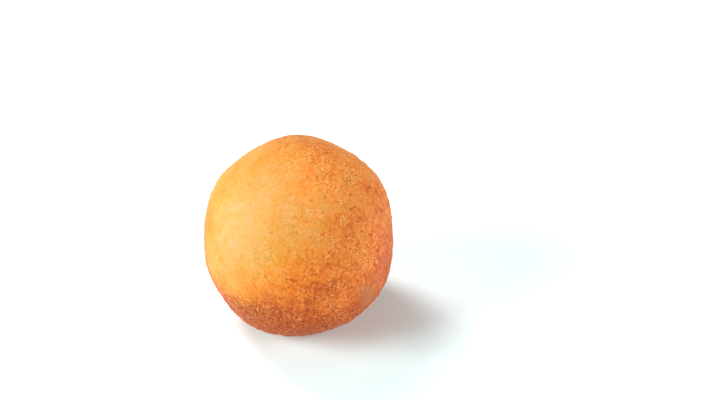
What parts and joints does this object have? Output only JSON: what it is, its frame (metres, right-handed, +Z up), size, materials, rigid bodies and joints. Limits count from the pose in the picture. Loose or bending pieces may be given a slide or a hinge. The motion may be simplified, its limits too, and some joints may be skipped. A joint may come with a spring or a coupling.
{
  "type": "doughnut hole",
  "caption": "Small ball of fried dough with a golden-brown crust, slightly uneven, on a small flat spot.",
  "frame": {"origin": "middle of the flat spot that the ball rests on", "axes": "+Z up out of the table, +Y to the back, +X to the right as the ball is seen from the front"},
  "size_m": [0.0345, 0.0366, 0.0357],
  "materials": {
    "crust": "fried dough crust, pale gold to orange brown, fine grain, a slight oily sheen"
  },
  "bodies": {
    "root": {"doughnut_hole": "crust"}
  },
  "joints": []
}
